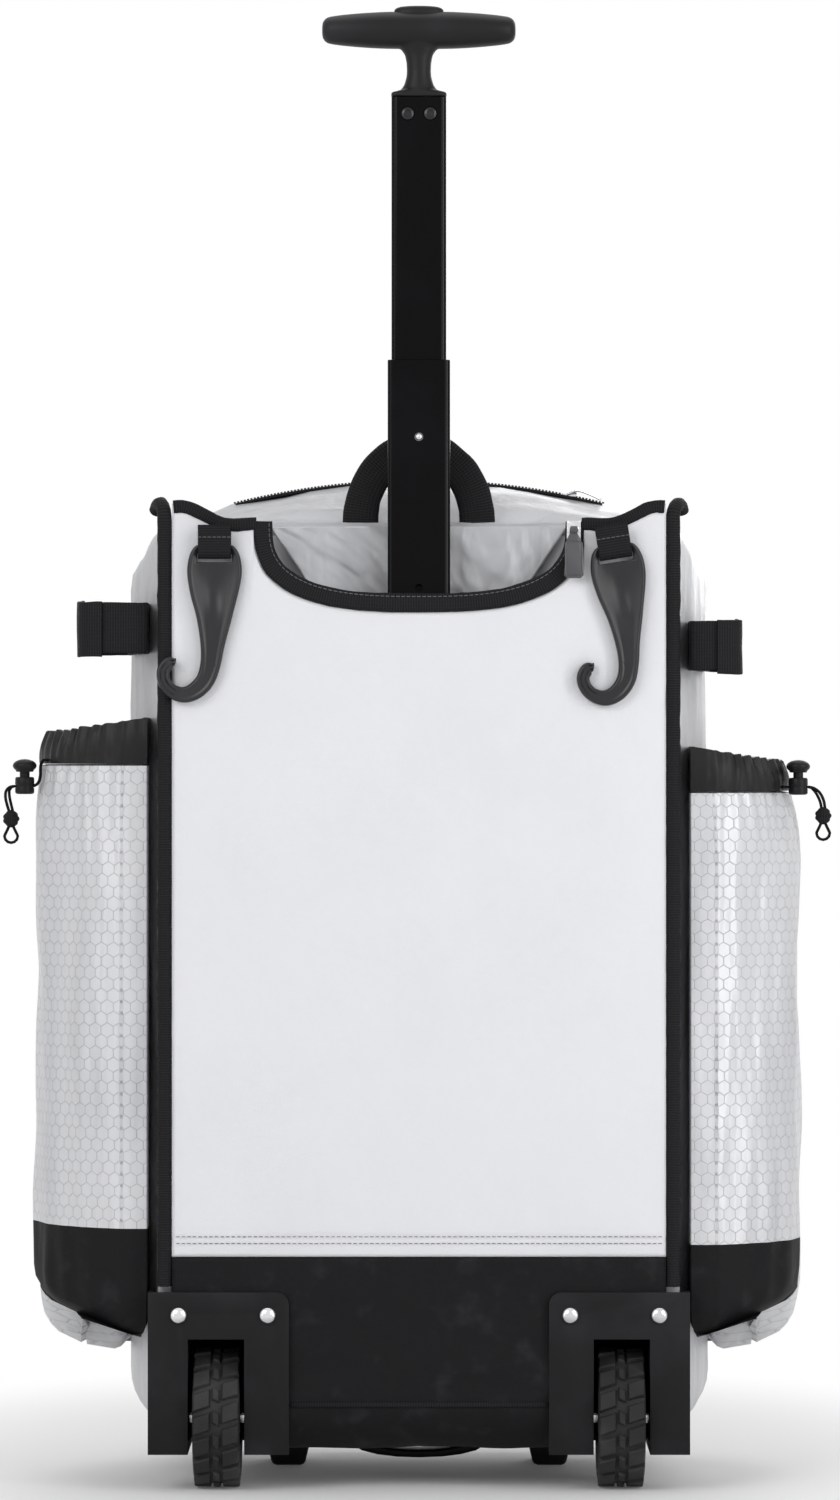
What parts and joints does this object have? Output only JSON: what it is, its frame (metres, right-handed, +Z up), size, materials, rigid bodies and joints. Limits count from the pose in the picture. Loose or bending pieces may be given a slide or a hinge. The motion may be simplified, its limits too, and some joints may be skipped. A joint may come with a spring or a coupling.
{
  "type": "wheeled skate bag",
  "caption": "Upright wheeled sports bag with a telescopic T-grip trolley, side stick sleeves with drawcord collars, hanging hooks and a front door.",
  "frame": {"origin": "on the ground under the middle of the bag", "axes": "+Z up, -Y towards the trolley side with the wheels, +Y towards the front door, +X to the right as seen from the trolley side"},
  "size_m": [0.5484, 0.2763, 0.973],
  "materials": {
    "silver_cloth": "coated silver-white cloth with a satin sheen",
    "black_cloth": "coated black woven cloth",
    "black_tape": "woven black tape and webbing",
    "black_plastic": "fine moulded texture",
    "black_rubber": "soft-touch moulded rubber",
    "grey_plastic": "satin moulded plastic",
    "tyre_rubber": "matt moulded rubber",
    "black_metal": "gloss black coated tube",
    "black_steel": "blackened steel",
    "bright_steel": "polished plating"
  },
  "bodies": {
    "bag": {"axle_left": "bright_steel", "axle_right": "bright_steel", "back_panel": "silver_cloth", "bag_shell": "silver_cloth", "base_board": "black_plastic", "bottom_handle": "black_plastic", "cord_end_left": "black_tape", "cord_end_right": "black_tape", "cord_lock_barrel_left": "black_plastic", "cord_lock_barrel_right": "black_plastic", "drawcord_left": "black_tape", "drawcord_right": "black_tape", "fixed_tube": "black_metal", "handle_cover_flap": "silver_cloth", "handle_pocket_zip": "black_tape", "haul_handle": "black_tape", "hook_webbing_left": "black_tape", "hook_webbing_right": "black_tape", "housing_rivet_1": "bright_steel", "housing_rivet_2": "bright_steel", "housing_rivet_3": "bright_steel", "housing_rivet_4": "bright_steel", "lower_back_panel": "black_cloth", "piping_left": "black_tape", "piping_right": "black_tape", "skid_foot_left": "black_plastic", "skid_foot_right": "black_plastic", "sleeve_collar_left": "black_cloth", "sleeve_collar_right": "black_cloth", "sleeve_left": "silver_cloth", "sleeve_right": "silver_cloth", "stick_strap_left": "black_tape", "stick_strap_right": "black_tape", "trolley_collar": "black_plastic", "tube_base_bracket": "black_plastic", "wheel_housing_left": "black_plastic", "wheel_housing_right": "black_plastic", "zip_slider": "bright_steel"},
    "middle_stage": {"middle_tube": "black_metal", "middle_tube_guide": "black_plastic", "middle_lock_clip": "bright_steel"},
    "inner_stage": {"inner_tube": "black_metal", "inner_tube_guide": "black_plastic", "inner_lock_clip": "bright_steel", "grip": "black_rubber", "grip_screw_left": "black_steel", "grip_screw_right": "black_steel", "button_spring": "bright_steel"},
    "release": {"release_button": "black_rubber", "push_rod": "bright_steel"},
    "wheel_left": {"hub_left": "grey_plastic", "tyre_left": "tyre_rubber"},
    "wheel_right": {"hub_right": "grey_plastic", "tyre_right": "tyre_rubber"},
    "hook_left": {"hook_left": "black_plastic"},
    "hook_right": {"hook_right": "black_plastic"},
    "zip_pull": {"zip_pull": "grey_plastic"},
    "door": {"front_door": "silver_cloth"},
    "lock_plunger_left": {"cord_lock_plunger_left": "black_plastic"},
    "lock_plunger_right": {"cord_lock_plunger_right": "black_plastic"}
  },
  "joints": [
    {"name": "middle_slide", "type": "slide", "parent": "bag", "child": "middle_stage", "axis": [0, 0, 1], "range_m": [-0.161, 0], "deforming": ["middle_lock_clip"]},
    {"name": "inner_slide", "type": "slide", "parent": "middle_stage", "child": "inner_stage", "axis": [0, 0, 1], "range_m": [-0.172, 0], "deforming": ["inner_lock_clip"]},
    {"name": "release_press", "type": "slide", "parent": "inner_stage", "child": "release", "axis": [0, 0, -1], "range_m": [0, 0.005], "stiffness_N_per_m": 300, "springref_m": -0.002, "deforming": ["button_spring", "inner_lock_clip"]},
    {"name": "wheel_left_spin", "type": "hinge", "parent": "bag", "child": "wheel_left", "pos_m": [-0.1325, -0.092, 0.046], "axis": [1, 0, 0], "continuous": true},
    {"name": "wheel_right_spin", "type": "hinge", "parent": "bag", "child": "wheel_right", "pos_m": [0.1325, -0.092, 0.046], "axis": [1, 0, 0], "continuous": true},
    {"name": "hook_left_swing", "type": "hinge", "parent": "bag", "child": "hook_left", "pos_m": [-0.1333, -0.1299, 0.6152], "axis": [-1, 0, 0], "range_deg": [0, 110]},
    {"name": "hook_right_swing", "type": "hinge", "parent": "bag", "child": "hook_right", "pos_m": [0.1278, -0.1299, 0.6152], "axis": [-0.9877, 0, -0.1564], "range_deg": [0, 110]},
    {"name": "zip_pull_swing", "type": "hinge", "parent": "bag", "child": "zip_pull", "pos_m": [0.101, -0.1314, 0.6285], "axis": [-1, 0, 0], "range_deg": [0, 150]},
    {"name": "door_open", "type": "hinge", "parent": "bag", "child": "door", "pos_m": [0, 0.1163, 0.152], "axis": [-1, 0, 0], "range_deg": [0, 95]},
    {"name": "lock_left_press", "type": "slide", "parent": "bag", "child": "lock_plunger_left", "axis": [0, 0, -1], "range_m": [0, 0.003], "stiffness_N_per_m": 150, "springref_m": -0.002},
    {"name": "lock_right_press", "type": "slide", "parent": "bag", "child": "lock_plunger_right", "axis": [0, 0, -1], "range_m": [0, 0.003], "stiffness_N_per_m": 150, "springref_m": -0.002}
  ]
}
